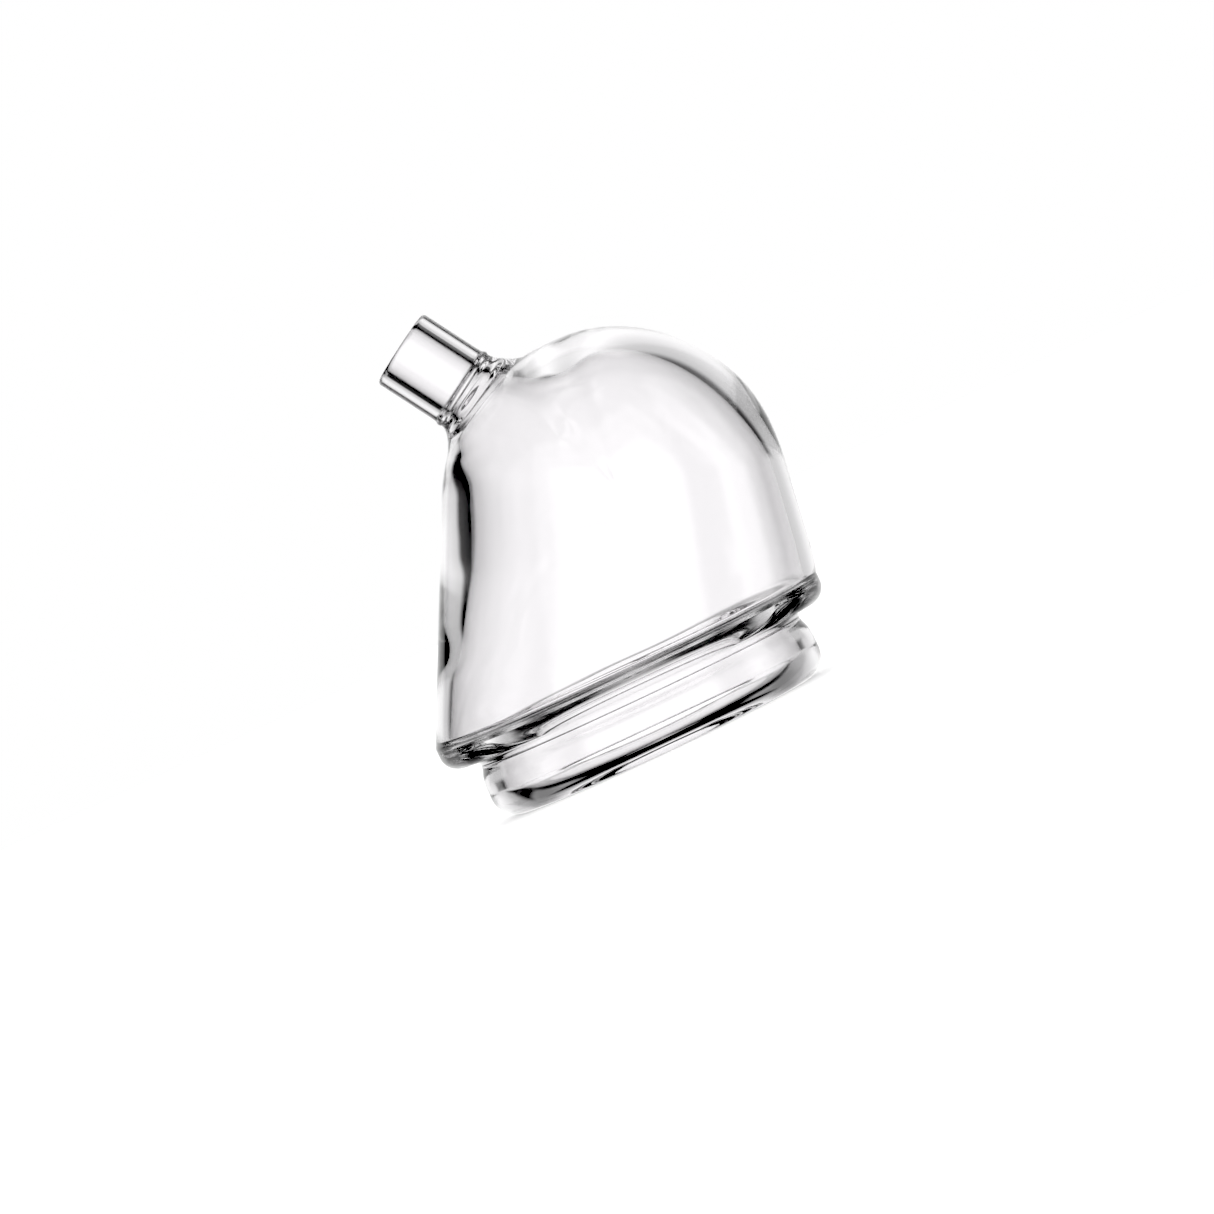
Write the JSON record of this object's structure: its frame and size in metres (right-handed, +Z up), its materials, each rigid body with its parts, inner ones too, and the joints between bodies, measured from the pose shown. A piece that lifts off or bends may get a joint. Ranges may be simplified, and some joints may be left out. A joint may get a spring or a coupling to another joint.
{
  "type": "wasp trap",
  "caption": "Clear blown-glass trap chamber: a leaning bell with a short tube neck on its shoulder, a rounded base ridge and a recessed foot with a central opening.",
  "frame": {"origin": "centre of the foot opening in the plane of the foot's underside", "axes": "+Z up along the foot axis, the neck leans towards -X and the bell towards +X, Y is across the mirror plane"},
  "size_m": [0.0847, 0.0804, 0.0943],
  "materials": {
    "clear_glass": "gloss"
  },
  "bodies": {
    "root": {"neck_tube": "clear_glass", "neck_weld": "clear_glass", "bell": "clear_glass", "base_shoulder": "clear_glass", "foot_collar": "clear_glass", "foot_floor": "clear_glass"}
  },
  "joints": []
}
